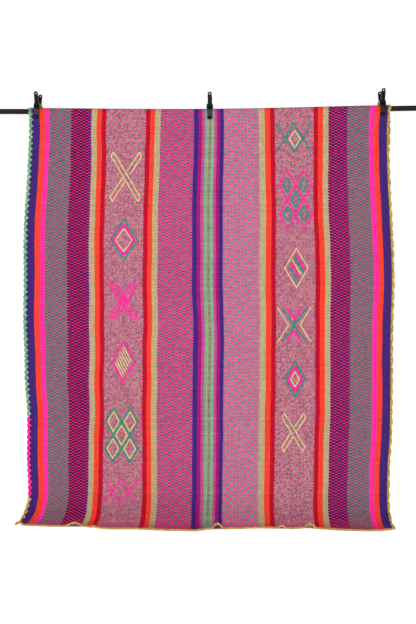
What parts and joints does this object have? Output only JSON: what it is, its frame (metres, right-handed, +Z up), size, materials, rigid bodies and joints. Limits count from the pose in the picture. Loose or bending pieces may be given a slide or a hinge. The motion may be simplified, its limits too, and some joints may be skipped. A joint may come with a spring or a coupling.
{
  "type": "woven blanket on a hanging rod",
  "caption": "Handwoven striped wool blanket with crocheted edging, folded over a hanging rod and held by spring clamps, its foot lying on the floor.",
  "frame": {"origin": "on the floor under the middle of the whole part", "axes": "+X along the rod to the right as seen from the good face, -Y towards the viewer, +Z up"},
  "size_m": [2, 0.173, 1.795],
  "materials": {
    "striped_wool": "matt warp-faced wool, striped and checked in pink, grey-green, purple, orange, crimson and tan",
    "green_wool": "matt crocheted wool yarn",
    "pink_wool": "matt crocheted wool yarn",
    "gold_wool": "matt crocheted wool yarn",
    "rod_enamel": "satin black",
    "black_plastic": "moulded satin black",
    "spring_steel": "bright wire"
  },
  "bodies": {
    "root": {"left_panel": "striped_wool", "right_panel": "striped_wool", "left_green_edging": "green_wool", "left_pink_edging": "pink_wool", "left_gold_edging": "gold_wool", "hem_gold_edging": "gold_wool", "right_gold_edging": "gold_wool", "rear_gold_edging": "gold_wool", "rod": "rod_enamel", "rod_cap_left": "black_plastic", "rod_cap_right": "black_plastic", "clamp_left_front": "black_plastic", "clamp_left_back": "black_plastic", "clamp_left_pin": "spring_steel", "clamp_left_spring": "spring_steel", "clamp_centre_front": "black_plastic", "clamp_centre_back": "black_plastic", "clamp_centre_pin": "spring_steel", "clamp_centre_spring": "spring_steel", "clamp_right_front": "black_plastic", "clamp_right_back": "black_plastic", "clamp_right_pin": "spring_steel", "clamp_right_spring": "spring_steel"}
  },
  "joints": []
}
